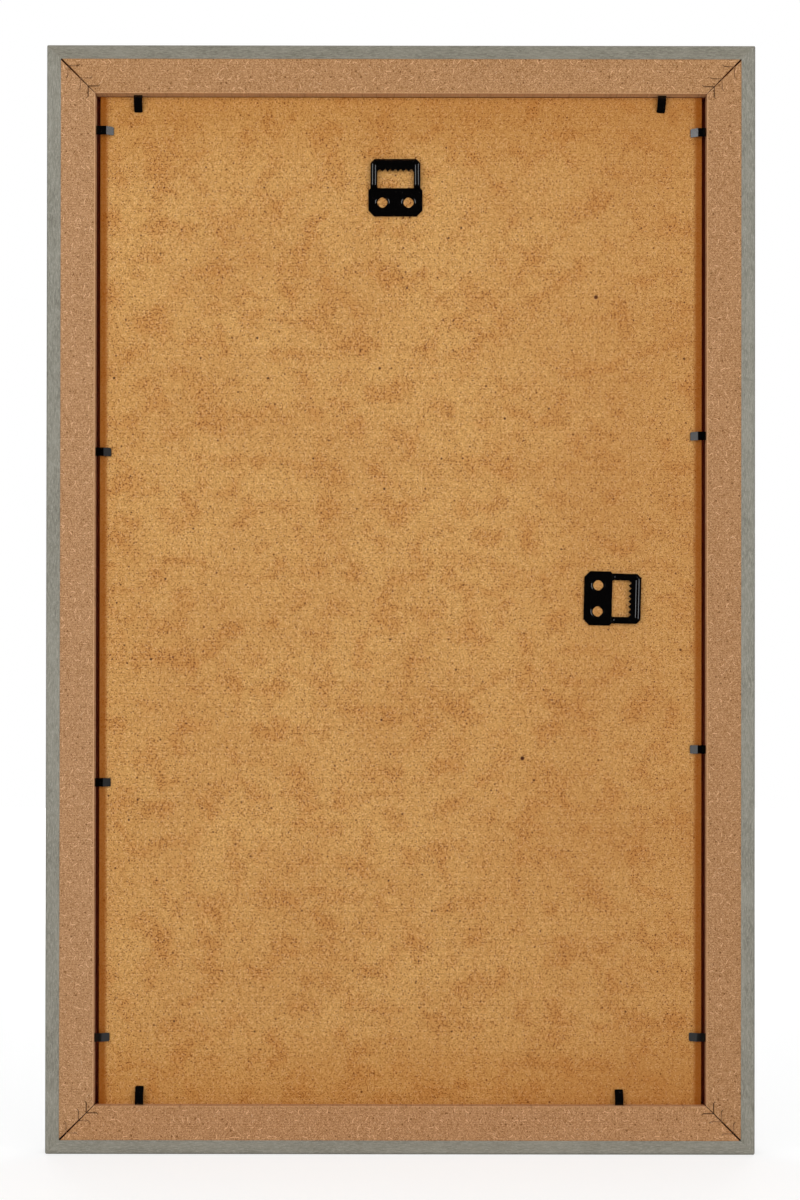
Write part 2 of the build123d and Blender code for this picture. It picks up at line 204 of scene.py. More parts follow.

# %% [markdown]
# ## Specks, felted grain and edges
# Three more effects are shared. Specks are round dots of bark and dirt, one in some of the cells of a
# Voronoi pattern. The felted grain is the matted fibre itself, as fine noise with its threads pulled
# about, and the slow clouds that a press leaves. The edge mask measures how far a point lies from the
# edge of the opening, inside or outside; it places a painted highlight on the arrises, and painted
# shade and shadow on the back sheet.

# %% The speck, felt and edge groups
def make_speck_group():
    """Mask of dots of half to one and a half times Radius, which is a share of a cell.

    Share is the part of the cells that have a dot, and a dot is full within 0.7 of its size.
    """
    inputs = {"Vector": None, "Cell": 0.003, "Radius": 0.15, "Share": 0.3}
    tree, given, result = new_group("bark_specks", inputs, ["Mask"])
    flat = back_plane_point(tree, given["Vector"])
    cells = place(
        tree,
        "ShaderNodeTexVoronoi",
        {"Vector": flat, "Scale": calc(tree, "DIVIDE", 1.0, given["Cell"])},
        voronoi_dimensions="2D",
    ).outputs
    draw = place(tree, "ShaderNodeSeparateColor", {"Color": cells["Color"]}).outputs
    size = calc(tree, "MULTIPLY", given["Radius"], calc(tree, "ADD", draw["Blue"], 0.5))
    dot = fade(tree, cells["Distance"], size, calc(tree, "MULTIPLY", size, 0.7))
    kept = calc(tree, "LESS_THAN", draw["Green"], given["Share"])
    tree.links.new(calc(tree, "MULTIPLY", dot, kept), result["Mask"])
    return tree


def make_felt_group():
    """Matted fibre: Grain is fine twisted noise and Cloud is slow noise, both about 0.5 in the mean."""
    inputs = {"Vector": None, "Grain Size": 0.0008, "Cloud Size": 0.02}
    tree, given, result = new_group("felted_grain", inputs, ["Grain", "Cloud"])
    for title, detail, twist in (("Grain", 3.0, 1.2), ("Cloud", 4.0, 0.4)):
        scale = calc(tree, "DIVIDE", 1.0, given[title + " Size"])
        noise = place(
            tree,
            "ShaderNodeTexNoise",
            {"Vector": given["Vector"], "Scale": scale, "Detail": detail, "Distortion": twist},
        )
        tree.links.new(noise.outputs["Fac"], result[title])
    return tree


def make_edge_group():
    """Mask that is 1 at the edge of a rectangle on the back and fades out over Reach to both sides."""
    inputs = {"Vector": None, "Half Width": 0.15, "Half Height": 0.25, "Middle": 0.275, "Reach": 0.001}
    tree, given, result = new_group("opening_edge", inputs, ["Mask"])
    parts = place(tree, "ShaderNodeSeparateXYZ", {"Vector": given["Vector"]}).outputs
    sideways = calc(tree, "SUBTRACT", calc(tree, "ABSOLUTE", parts["X"]), given["Half Width"])
    height = calc(tree, "ABSOLUTE", calc(tree, "SUBTRACT", parts["Z"], given["Middle"]))
    upwards = calc(tree, "SUBTRACT", height, given["Half Height"])
    distance = calc(tree, "ABSOLUTE", calc(tree, "MAXIMUM", sideways, upwards))
    tree.links.new(fade(tree, distance, given["Reach"], 0.0), result["Mask"])
    return tree


speck_group = make_speck_group()
felt_group = make_felt_group()
edge_group = make_edge_group()
print("groups:", sorted(group.name for group in bpy.data.node_groups))

# %% [markdown]
# ## Starting a finish
# Every finish starts the same way: a Principled shader, and Object coordinates, which are metres in the
# frame of the whole object. A shift slides the pattern, so that two rails cut from different lengths of
# moulding don't carry the same flecks across a mitre.

# %% Start a finish, and use a group in it
def new_finish(name, shift=(0, 0, 0), stretch=(1, 1, 1), **constants):
    """A material with its shader's plain sockets set; gives itself, its tree, shader and point."""
    finish = bpy.data.materials.new(name)
    finish.use_nodes = True
    tree = finish.node_tree
    shader = tree.nodes["Principled BSDF"]
    for title, value in constants.items():
        shader.inputs[title.replace("_", " ")].default_value = value
    seen = tree.nodes.new("ShaderNodeTexCoord").outputs["Object"]
    point = place(
        tree,
        "ShaderNodeMapping",
        {"Vector": seen, "Location": shift, "Scale": stretch},
    ).outputs["Vector"]
    return finish, tree, shader, point


def use(tree, group, point, **values):
    """Place a shared group in a material with its own values; gives the group's outputs."""
    inputs = {"Vector": point}
    inputs.update({title.replace("_", " "): value for title, value in values.items()})
    return place(tree, "ShaderNodeGroup", inputs, node_tree=group).outputs


def roughen(tree, shader, height, depth, strength):
    """Bump from a height mask, where depth is the real height of a mask of 1."""
    bump = place(tree, "ShaderNodeBump", {"Height": height, "Distance": depth, "Strength": strength})
    tree.links.new(bump.outputs["Normal"], shader.inputs["Normal"])


print("finish helpers ready")

# %% [markdown]
# ## Raw fibreboard
# The core of the moulding is medium-density fibreboard, sawn and left raw on the back. It is a pinkish
# brown felt with short pale and dark fibres and small specks. Its rebate arris carries a painted
# highlight, and the walls of the rebate a fainter one. A painted shade darkens the foot of the rebate,
# down in the narrow gap. The mitres are brown with glue, and the innermost nail of each corner has
# bruised the board beside it. One function makes it, once for each rail, with the rail's own tone.

# %% The fibreboard finish of each rail
opening_gap = 1.875 * MM
opening_half_width = board_high.x + opening_gap
opening_half_height = (board_high.z - board_low.z) / 2
rail_width = cad_high.x - opening_half_width
arris_light = 0.6 * MM
inner_nail_setback = 20.5 * MM
nail_wing = 5.0 * MM
grain_range = (0.34, 0.66)


def from_edges(tree, parts):
    """How far a point lies from the nearer upright outer edge, and from the nearer level one."""
    from_side = calc(tree, "SUBTRACT", cad_high.x, calc(tree, "ABSOLUTE", parts["X"]))
    height_off = calc(tree, "ABSOLUTE", calc(tree, "SUBTRACT", parts["Z"], middle_height))
    from_end = calc(tree, "SUBTRACT", cad_high.z - middle_height, height_off)
    return from_side, from_end


def make_fibreboard(name, body, shift):
    """Body-tone felt, flecks, specks, nail bruises, glued mitres; painted arris highlight and gap shade.
    """
    finish, tree, shader, point = new_finish(name, shift, Roughness=0.85, Specular_IOR_Level=0.2)
    felt = use(tree, felt_group, point, Grain_Size=0.55 * MM, Cloud_Size=9 * MM)
    pale = use(tree, fleck_group, point, Cell=4.2 * MM, Length=0.34, Width=0.06, Share=0.3)["Mask"]
    fine = use(tree, fleck_group, point, Cell=1.3 * MM, Length=0.45, Width=0.19, Share=0.40)["Mask"]
    dark = use(tree, fleck_group, point, Cell=1.1 * MM, Length=0.45, Width=0.20, Share=0.45)["Mask"]
    speck = use(tree, speck_group, point, Cell=2.9 * MM, Radius=0.14, Share=0.22)["Mask"]
    seen = tree.nodes["Texture Coordinate"].outputs["Object"]
    # Mask for the painted highlight on the rebate arris
    edge = use(
        tree,
        edge_group,
        seen,
        Half_Width=opening_half_width,
        Half_Height=opening_half_height,
        Middle=middle_height,
        Reach=arris_light,
    )["Mask"]
    parts = place(tree, "ShaderNodeSeparateXYZ", {"Vector": seen}).outputs
    # Painted shade: everything deeper than the face of the back sheet, in the narrow gap beside it
    foot = fade(tree, parts["Y"], board_back - 0.6 * MM, board_back + 0.6 * MM)
    from_side, from_end = from_edges(tree, parts)
    off_mitre = calc(tree, "ABSOLUTE", calc(tree, "SUBTRACT", from_side, from_end))
    from_corner = calc(tree, "MINIMUM", from_side, from_end)
    off_nail = calc(tree, "ABSOLUTE", calc(tree, "SUBTRACT", from_corner, inner_nail_setback))
    on_wing = fade(tree, off_mitre, nail_wing + 0.4 * MM, nail_wing - 0.2 * MM)
    bruise = calc(tree, "MULTIPLY", fade(tree, off_nail, 0.5 * MM, 0.22 * MM), on_wing)
    below = fade(tree, parts["Y"], core_back + 0.1 * MM, core_back + 0.6 * MM)
    within = fade(tree, from_side, rail_width - 0.4 * MM, rail_width - 0.8 * MM)
    sawn = calc(tree, "MULTIPLY", below, within)
    mitre = calc(tree, "MULTIPLY", fade(tree, off_mitre, 1.6 * MM, 1.0 * MM), sawn)
    outer = fade(tree, from_side, rail_width - 3 * MM, rail_width - 11 * MM)
    stain = calc(tree, "MULTIPLY", fade(tree, off_mitre, 1.0 * MM, 0.45 * MM), outer)
    colour = lay(tree, fade(tree, felt["Grain"], *grain_range), stepped(body, -24), stepped(body, 22))
    cloudy = fade(tree, felt["Cloud"], 0.40, 0.65)
    colour = tint(tree, colour, cloudy, 0.25, stepped(body, 10))
    colour = tint(tree, colour, dark, 0.65, stepped(body, -60))
    colour = tint(tree, colour, fine, 0.55, stepped(body, 50))
    colour = tint(tree, colour, pale, 0.75, stepped(body, 58))
    colour = tint(tree, colour, speck, 0.68, stepped(body, -72))
    # Painted highlight: the rebate arris is lightened, and the rebate walls below it about half as much
    painted_highlight_strength = calc(tree, "SUBTRACT", 0.85, calc(tree, "MULTIPLY", below, 0.42))
    colour = tint(tree, colour, edge, painted_highlight_strength, stepped(body, 36))
    # Painted shade of the gap, in dark red-brown
    colour = tint(tree, colour, foot, 0.92, tone(134, 40, 2))
    colour = tint(tree, colour, stain, 0.65, tone(118, 56, 4))
    colour = tint(tree, colour, bruise, 0.5, tone(94, 49, 12))
    colour = tint(tree, colour, mitre, 0.97, tone(98, 32, 0))
    tree.links.new(colour, shader.inputs["Base Color"])
    height = calc(tree, "ADD", felt["Grain"], calc(tree, "MULTIPLY", pale, 0.5))
    roughen(tree, shader, height, 0.03 * MM, 0.5)
    return finish


core_finish = {
    "left_rail": make_fibreboard("fibreboard_left", (176, 132, 91), (0.0, 0, 0.0)),
    "right_rail": make_fibreboard("fibreboard_right", (171, 126, 84), (0.31, 0, 0.17)),
    "top_rail": make_fibreboard("fibreboard_top", (173, 128, 85), (0.17, 0, 0.43)),
    "bottom_rail": make_fibreboard("fibreboard_bottom", (178, 131, 88), (0.53, 0, 0.29)),
}
print("fibreboard finishes:", len(core_finish))

# %% [markdown]
# ## Grey foil
# The moulding is wrapped in a thin grey decor foil with a fine grain printed and pressed along each
# rail. The grain is noise drawn out long in the rail's own direction, so the uprights have one finish
# and the level rails two. Their tones are painted light and shade: the uprights are lighter as if side
# lamps caught their grain, the upper rail is darker and the lower one lighter. It is a matt lacquered
# paper, slightly glossier than raw board.

# %% The foil finishes
def make_foil_finish(name, body, stretch, contrast):
    """Short streaks along the rail over even grain and slow changes of tone, with a shallow bump."""
    finish, tree, shader, point = new_finish(name, stretch=stretch, Specular_IOR_Level=0.3)
    streak = use(tree, felt_group, point, Grain_Size=0.4 * MM, Cloud_Size=3 * MM)
    seen = tree.nodes["Texture Coordinate"].outputs["Object"]
    slow = use(tree, felt_group, seen, Grain_Size=0.45 * MM, Cloud_Size=25 * MM)
    deep = stepped(body, -contrast)
    light = stepped(body, contrast)
    colour = lay(tree, fade(tree, streak["Grain"], *grain_range), deep, light)
    colour = tint(tree, colour, fade(tree, slow["Grain"], 0.36, 0.64), 0.5, deep)
    colour = tint(tree, colour, fade(tree, streak["Cloud"], 0.4, 0.7), 0.25, light)
    colour = tint(tree, colour, fade(tree, slow["Cloud"], 0.4, 0.7), 0.2, light)
    tree.links.new(colour, shader.inputs["Base Color"])
    matt = fade(tree, streak["Grain"], 0.0, 1.0)
    rough = calc(tree, "ADD", calc(tree, "MULTIPLY", matt, 0.15), 0.45)
    tree.links.new(rough, shader.inputs["Roughness"])
    roughen(tree, shader, streak["Grain"], 0.03 * MM, 0.5)
    return finish


# A pattern with its points scaled by this along the rail is drawn out to about eight times its width
drawn_out = 0.13
# Painted light and shade in the base tones: uprights and lower rail lighter, upper rail darker
painted_lit_upright_foil = make_foil_finish("foil_upright_painted_lit", (141, 138, 126), (1, 1, drawn_out), 23)
painted_shade_upper_foil = make_foil_finish("foil_upper_painted_shade", (133, 129, 116), (drawn_out, 1, 1), 20)
painted_lit_lower_foil = make_foil_finish("foil_lower_painted_lit", (144, 141, 129), (drawn_out, 1, 1), 18)
print("foil finishes:", painted_lit_upright_foil.name, painted_shade_upper_foil.name, painted_lit_lower_foil.name)

# %% [markdown]
# ## Hardboard
# The back sheet is thin pressed hardboard: warmer and more yellow than the core. Short dark fibres lie
# on it every way, thickest in orange-brown patches that the press leaves, with a few pale fibres and
# dots of bark between. The mat is drawn out a little sideways, and two dots of bark are larger than the
# rest. Painted shade makes the sheet browner towards its top and bottom ends and its right side. A
# painted shadow of the rails darkens a narrow band along each long side, and painted shade darkens its
# cut edges down in the gap.

# %% The hardboard finish
mat_stretch = 0.84
bark_places = ((97.1 * MM, 425.6 * MM), (60.7 * MM, 196.0 * MM))
bark_radius = 0.8 * MM
bark_outside = 1.15 * MM
end_shade_reach = 50 * MM
rail_shadow_width = 6 * MM
board_middle = (board_high.z + board_low.z) / 2
far_off = 1.0


def make_hardboard():
    """Yellow-tan felt with warm patches; dark fibres thicken in the patches, pale ones lie all over."""
    finish, tree, shader, point = new_finish("hardboard", Roughness=0.7, Specular_IOR_Level=0.25)
    mat = place(
        tree,
        "ShaderNodeMapping",
        {"Vector": point, "Scale": (mat_stretch, 1, 1)},
    ).outputs["Vector"]
    felt = use(tree, felt_group, mat, Grain_Size=0.5 * MM, Cloud_Size=12 * MM)
    broad = use(tree, felt_group, mat, Grain_Size=3.2 * MM, Cloud_Size=60 * MM)
    hair = use(tree, fleck_group, point, Cell=2.2 * MM, Length=0.48, Width=0.12, Share=0.8)["Mask"]
    lint = use(tree, fleck_group, point, Cell=1.3 * MM, Length=0.47, Width=0.17, Share=0.55)["Mask"]
    pale = use(tree, fleck_group, point, Cell=2.0 * MM, Length=0.46, Width=0.13, Share=0.45)["Mask"]
    small = use(tree, speck_group, point, Cell=1.7 * MM, Radius=0.18, Share=0.5)["Mask"]
    medium = use(tree, speck_group, point, Cell=3 * MM, Radius=0.13, Share=0.06)["Mask"]
    large = use(tree, speck_group, point, Cell=5 * MM, Radius=0.10, Share=0.02)["Mask"]
    # Painted shade: browner towards the top and bottom ends of the sheet
    ends = use(
        tree,
        edge_group,
        point,
        Half_Width=far_off,
        Half_Height=opening_half_height,
        Middle=board_middle,
        Reach=end_shade_reach,
    )["Mask"]
    # Painted shadow of the rails, in a narrow band along each long side of the sheet
    rail_shadow_mask = use(
        tree,
        edge_group,
        point,
        Half_Width=board_high.x,
        Half_Height=far_off,
        Middle=board_middle,
        Reach=rail_shadow_width,
    )["Mask"]
    body = (205, 155, 88)
    parts = place(tree, "ShaderNodeSeparateXYZ", {"Vector": point}).outputs
    # Painted shade: the cut edges of the sheet, down in the gap
    painted_cut_edge_shade = fade(tree, parts["Y"], board_back + 0.1 * MM, board_back + 0.4 * MM)
    # Painted shade: browner towards the right side of the sheet
    right = fade(tree, parts["X"], 0.1 * board_high.x, 0.85 * board_high.x)
    patch = fade(tree, felt["Cloud"], 0.43, 0.72)
    drift = fade(tree, broad["Cloud"], 0.40, 0.65)
    colour = lay(tree, fade(tree, felt["Grain"], *grain_range), stepped(body, -26), stepped(body, 22))
    colour = tint(tree, colour, fade(tree, broad["Grain"], 0.4, 0.7), 0.25, tone(186, 132, 72))
    colour = tint(tree, colour, drift, 0.32, tone(186, 130, 68))
    colour = tint(tree, colour, patch, 0.45, tone(184, 118, 54))
    thick = calc(tree, "ADD", calc(tree, "MULTIPLY", patch, 0.50), 0.45)
    colour = tint(tree, colour, hair, thick, tone(118, 58, 0))
    colour = tint(tree, colour, lint, thick, tone(130, 72, 0))
    colour = tint(tree, colour, pale, 0.45, tone(242, 200, 148))
    crowded = calc(tree, "ADD", calc(tree, "MULTIPLY", patch, 0.25), 0.72)
    colour = tint(tree, colour, small, crowded, tone(98, 42, 0))
    colour = tint(tree, colour, medium, 0.9, tone(80, 30, 0))
    colour = tint(tree, colour, large, 0.95, tone(64, 16, 0))
    for x, z in bark_places:
        away = place(
            tree,
            "ShaderNodeVectorMath",
            {0: point, 1: (x, board_back, z)},
            operation="DISTANCE",
        ).outputs["Value"]
        colour = lay(tree, fade(tree, away, bark_outside, bark_radius), colour, tone(56, 9, 0))
    # Painted shade towards the ends and the right side
    colour = tint(tree, colour, ends, 0.30, tone(170, 97, 0))
    colour = tint(tree, colour, right, 0.22, tone(164, 100, 42))
    # Painted shadow of the rails along the long sides
    painted_rail_shadow = fade(tree, rail_shadow_mask, 0.1, 0.7)
    colour = tint(tree, colour, painted_rail_shadow, 0.82, tone(156, 83, 0))
    # Painted shade on the cut edges in the gap
    colour = lay(tree, painted_cut_edge_shade, colour, tone(84, 44, 18))
    tree.links.new(colour, shader.inputs["Base Color"])
    height = calc(tree, "ADD", felt["Grain"], calc(tree, "MULTIPLY", pale, 0.4))
    roughen(tree, shader, height, 0.02 * MM, 0.5)
    return finish


hardboard = make_hardboard()
print("finish:", hardboard.name)

# %% [markdown]
# ## Steel, glass and paper
# The hangers are lacquered a glossy black and the tabs are blacked steel. They have nearly no colour of
# their own, so what shows is the gloss on bent and pressed places. Blacking takes unevenly, and bending
# it against a tool dulls it, so the side tabs differ. The V nails are bright steel, dulled by the saw
# dust round them, and the innermost ones lie deep in dark dust. The glass is clear float glass, and the
# sheet behind it a plain uncoated paper.

# %% The remaining finishes
def make_black_steel(name, gloss, roughness):
    """Black coat: tiny nubs in it change its gloss, and a few dust specks sit on it."""
    finish, tree, shader, point = new_finish(name, Specular_IOR_Level=gloss)
    coat = use(tree, felt_group, point, Grain_Size=0.35 * MM, Cloud_Size=5 * MM)
    dust = use(tree, speck_group, point, Cell=3.0 * MM, Radius=0.05, Share=0.25)["Mask"]
    colour = tint(tree, tone(3, 2, 2), dust, 0.3, tone(90, 86, 80))
    tree.links.new(colour, shader.inputs["Base Color"])
    spread = calc(tree, "MULTIPLY", coat["Cloud"], 0.08)
    tree.links.new(calc(tree, "ADD", spread, roughness), shader.inputs["Roughness"])
    roughen(tree, shader, coat["Grain"], 0.005 * MM, 0.3)
    return finish


def make_bright_steel():
    """Bright steel that shows here and there through brown dust; the innermost nails are all dust."""
    finish, tree, shader, point = new_finish("dusty_bright_steel")
    coat = use(tree, felt_group, point, Grain_Size=0.6 * MM, Cloud_Size=3 * MM)
    dusty = fade(tree, coat["Cloud"], 0.38, 0.55)
    dust = lay(tree, fade(tree, coat["Grain"], 0.35, 0.65), tone(122, 84, 54), tone(172, 128, 90))
    parts = place(tree, "ShaderNodeSeparateXYZ", {"Vector": point}).outputs
    from_side, from_end = from_edges(tree, parts)
    from_corner = calc(tree, "MINIMUM", from_side, from_end)
    deep = fade(tree, from_corner, inner_nail_setback - 2.5 * MM, inner_nail_setback - 1 * MM)
    dust = lay(tree, deep, dust, tone(62, 36, 18))
    dusty = calc(tree, "MAXIMUM", dusty, deep)
    tree.links.new(lay(tree, dusty, tone(104, 84, 66), dust), shader.inputs["Base Color"])
    tree.links.new(calc(tree, "SUBTRACT", 1.0, dusty), shader.inputs["Metallic"])
    rough = calc(tree, "ADD", calc(tree, "MULTIPLY", dusty, 0.4), 0.4)
    tree.links.new(rough, shader.inputs["Roughness"])
    return finish


def make_glass():
    """Clear glass with the faint smears that wiping leaves."""
    finish, tree, shader, point = new_finish(
        "clear_glass",
        Base_Color=(0.96, 0.985, 0.97, 1.0),
        IOR=1.5,
        Transmission_Weight=1.0,
    )
    wipe = use(tree, felt_group, point, Grain_Size=6 * MM, Cloud_Size=60 * MM)
    smear = calc(tree, "MULTIPLY", fade(tree, wipe["Cloud"], 0.5, 0.8), 0.03)
    tree.links.new(smear, shader.inputs["Roughness"])
    return finish


def make_paper():
    """Uncoated off-white paper with faint fibres."""
    finish, tree, shader, point = new_finish("insert_paper", Roughness=0.9, Specular_IOR_Level=0.2)
    felt = use(tree, felt_group, point, Grain_Size=0.8 * MM, Cloud_Size=12 * MM)
    fibre = use(tree, fleck_group, point, Cell=4 * MM, Length=0.4, Width=0.05, Share=0.4)["Mask"]
    colour = lay(tree, fade(tree, felt["Grain"], 0.3, 0.7), tone(233, 230, 222), tone(242, 239, 232))
    colour = tint(tree, colour, fibre, 0.3, tone(216, 210, 198))
    tree.links.new(colour, shader.inputs["Base Color"])
    roughen(tree, shader, felt["Grain"], 0.02 * MM, 0.4)
    return finish


hanger_steel = make_black_steel("hanger_lacquer", gloss=0.65, roughness=0.07)
tab_steel = make_black_steel("tab_blacking", gloss=0.54, roughness=0.17)
dull_tab_steel = make_black_steel("tab_blacking_dull", gloss=0.12, roughness=0.2)
satin_tab_steel = make_black_steel("tab_blacking_satin", gloss=0.36, roughness=0.17)
bright_tab_steel = make_black_steel("tab_blacking_bright", gloss=0.76, roughness=0.17)
rubbed_tab_steel = make_black_steel("tab_blacking_rubbed", gloss=1.0, roughness=0.42)
bright_steel = make_bright_steel()
clear_glass = make_glass()
insert_paper = make_paper()
print("finishes:", len(bpy.data.materials))

# %% [markdown]
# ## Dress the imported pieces
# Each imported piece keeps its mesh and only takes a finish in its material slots.

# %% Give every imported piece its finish
def dress(name, finish):
    """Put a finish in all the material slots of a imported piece."""
    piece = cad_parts[name]
    if not piece.material_slots:
        piece.data.materials.append(finish)
    for slot in piece.material_slots:
        slot.material = finish


plain_finish = {
    "left_foil": painted_lit_upright_foil,
    "right_foil": painted_lit_upright_foil,
    "top_foil": painted_shade_upper_foil,
    "bottom_foil": painted_lit_lower_foil,
    "backboard": hardboard,
    "glass_pane": clear_glass,
    "paper_insert": insert_paper,
    "v_nails": bright_steel,
    "top_hanger": hanger_steel,
    "side_hanger": hanger_steel,
    "left_tab_2": dull_tab_steel,
    "left_tab_3": dull_tab_steel,
    "left_tab_4": rubbed_tab_steel,
    "right_tab_1": bright_tab_steel,
    "right_tab_2": satin_tab_steel,
    "right_tab_3": satin_tab_steel,
    "right_tab_4": rubbed_tab_steel,
}
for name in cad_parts:
    dress(name, core_finish.get(name) or plain_finish.get(name) or tab_steel)
print("dressed", len(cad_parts), "packed pieces")

# %% [markdown]
# ## Loose fibres
# A saw leaves fibres standing on raw fibreboard, and a few cling to the back sheet. Particles could
# scatter them, but a grid of numbers is simpler to steer: all fibres are worked out at once, each as a
# small four-sided section carried along its own bowed path, thinnest at both ends.

# %% Work out many fibres at once
def fibre_mesh(name, foot, heading, length, bow, radius, lift):
    """One mesh of many fibres lying on a face that looks towards -Y.

    At station t from 0 to 1 the centre of a fibre is its foot, plus heading * length * (t - 1/2), plus
    sideways * bow * length * (1 - (2t - 1)^2), raised by lift * sin(pi t). Its section is a square on
    its corner, of half diagonal radius * sqrt(1 - taper (2t - 1)^2).
    """
    stations = 7
    sides = 4
    taper = 0.97
    t = np.linspace(0, 1, stations)[None, :, None]
    ahead = np.stack([np.cos(heading), 0 * heading, np.sin(heading)], axis=-1)[:, None, :]
    sideways = np.stack([-np.sin(heading), 0 * heading, np.cos(heading)], axis=-1)[:, None, :]
    outwards = np.array([0.0, -1.0, 0.0])
    length = length[:, None, None]
    swing = bow[:, None, None] * length * (1 - (2 * t - 1) ** 2)
    rise = lift[:, None, None] * np.sin(np.pi * t)
    centre = foot[:, None, :] + ahead * length * (t - 0.5) + sideways * swing + outwards * rise
    thick = radius[:, None, None] * np.sqrt(1 - taper * (2 * t - 1) ** 2)
    turn = np.arange(sides) * 2 * np.pi / sides
    ring = np.cos(turn)[:, None] * sideways[:, :, None, :] + np.sin(turn)[:, None] * outwards
    points = centre[:, :, None, :] + thick[:, :, None, :] * ring

    count = len(foot)
    first = (np.arange(count) * stations * sides)[:, None, None]
    row = (np.arange(stations - 1) * sides)[None, :, None]
    corner = np.arange(sides)[None, None, :]
    after = (corner + 1) % sides
    ring_start = first + row
    ring_after = ring_start + sides
    walls = np.stack(
        [ring_start + corner, ring_start + after, ring_after + after, ring_after + corner],
        axis=-1,
    ).reshape(-1, 4)
    start_caps = first[:, 0] + np.arange(sides)[::-1]
    end_caps = first[:, 0] + (stations - 1) * sides + np.arange(sides)
    faces = np.concatenate([walls, start_caps, end_caps])
    mesh = bpy.data.meshes.new(name)
    mesh.from_pydata(points.reshape(-1, 3).tolist(), [], faces.tolist())
    mesh.update()
    piece = bpy.data.objects.new(name, mesh)
    bpy.context.scene.collection.objects.link(piece)
    print(name, "has", count, "fibres and", len(faces), "faces")
    return piece


def fibre_shapes(chance, count, shortest, longest):
    """Random headings, lengths, bows, radii and lifts for a number of fibres."""
    heading = chance.uniform(0, 2 * np.pi, count)
    length = shortest + (longest - shortest) * chance.beta(1.4, 3.0, count)
    bow = chance.normal(0, 0.16, count)
    radius = chance.uniform(0.04, 0.08, count) * MM
    lift = chance.uniform(0.0, 0.05, count) * MM
    return heading, length, bow, radius, lift


print("fibre helpers ready")

# %% [markdown]
# The fibres on the moulding lie between the turned-over foil and the rebate. A place is drawn along a
# rail and across it, then moved to one of the four rails, with the mitre line as the limit. Those on the
# back sheet keep clear of the tabs and the hangers.

# %% Fibres on the moulding and on the back sheet
foil_return = 7.0 * MM
keep_off = 2.2 * MM
half_outer = np.array([cad_high.x, (cad_high.z - cad_low.z) / 2])


def places_on_rails(chance, count):
    """Random places on the raw back of the four rails, two uprights and two level rails by turns."""
    rail = np.arange(count) % 4
    upright = rail < 2
    side = np.where(rail % 2 == 0, -1.0, 1.0)
    depth = chance.uniform(foil_return + keep_off, rail_width - keep_off, count)
    reach = np.where(upright, half_outer[1], half_outer[0]) - depth - keep_off
    along = chance.uniform(-1, 1, count) * reach
    from_middle = side * (np.where(upright, half_outer[0], half_outer[1]) - depth)
    x = np.where(upright, from_middle, along)
    z = np.where(upright, along, from_middle) + middle_height
    return np.stack([x, np.full(count, core_back), z], axis=-1)


def places_on_board(chance, count):
    """Random places on the back sheet, clear of the tabs along its edges and of both hangers."""
    margin = 14 * MM
    x = chance.uniform(board_low.x + margin, board_high.x - margin, count)
    z = chance.uniform(board_low.z + margin, board_high.z - margin, count)
    clear = np.ones(count, bool)
    for name in ("top_hanger", "side_hanger"):
        low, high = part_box(name)
        inside_x = (x > low.x - keep_off) & (x < high.x + keep_off)
        inside_z = (z > low.z - keep_off) & (z < high.z + keep_off)
        clear &= ~(inside_x & inside_z)
    return np.stack([x, np.full(count, board_back), z], axis=-1)[clear]


def make_fibre_finish(name, body, pale):
    """Single fibres, some paler than others."""
    finish, tree, shader, point = new_finish(name, Roughness=0.6, Specular_IOR_Level=0.2)
    felt = use(tree, felt_group, point, Grain_Size=1.5 * MM, Cloud_Size=9 * MM)
    colour = lay(tree, fade(tree, felt["Cloud"], 0.35, 0.65), body, pale)
    tree.links.new(colour, shader.inputs["Base Color"])
    return finish


rail_fibre_count = 420
board_fibre_count = 200
fibre_lengths = (0.8 * MM, 3.2 * MM)
chance = np.random.default_rng(21)
rail_foot = places_on_rails(chance, rail_fibre_count)
rail_shapes = fibre_shapes(chance, len(rail_foot), *fibre_lengths)
rail_fibres = fibre_mesh("rail_fibres", rail_foot, *rail_shapes)
board_foot = places_on_board(chance, board_fibre_count)
board_shapes = fibre_shapes(chance, len(board_foot), *fibre_lengths)
board_fibres = fibre_mesh("board_fibres", board_foot, *board_shapes)
raw_fibre = make_fibre_finish("raw_fibre", tone(206, 166, 126), tone(232, 202, 168))
board_fibre = make_fibre_finish("board_fibre", tone(214, 168, 108), tone(240, 204, 150))
rail_fibres.data.materials.append(raw_fibre)
board_fibres.data.materials.append(board_fibre)
for piece, slot in ((rail_fibres, "fibreboard"), (board_fibres, "hardboard")):
    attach(piece, "frame")

# %% [markdown]
# ## A plain studio
# The frame stands on a pale floor before a white background. Lamps alone would leave the floor grey, so
# for camera rays and through glass it also has a white of its own, which takes over from their light
# further out. Near the frame the floor still takes its shadow. Gloss looks past the floor: level beads
# and rims on the hangers stay as black as the upright ones are bright.

# %% Floor
floor_half = 6.0
floor_paint = (0.85, 0.85, 0.85, 1.0)
floor_white = 1.25
near_share = 0.55
near_reach = 0.7
far_reach = 2.2


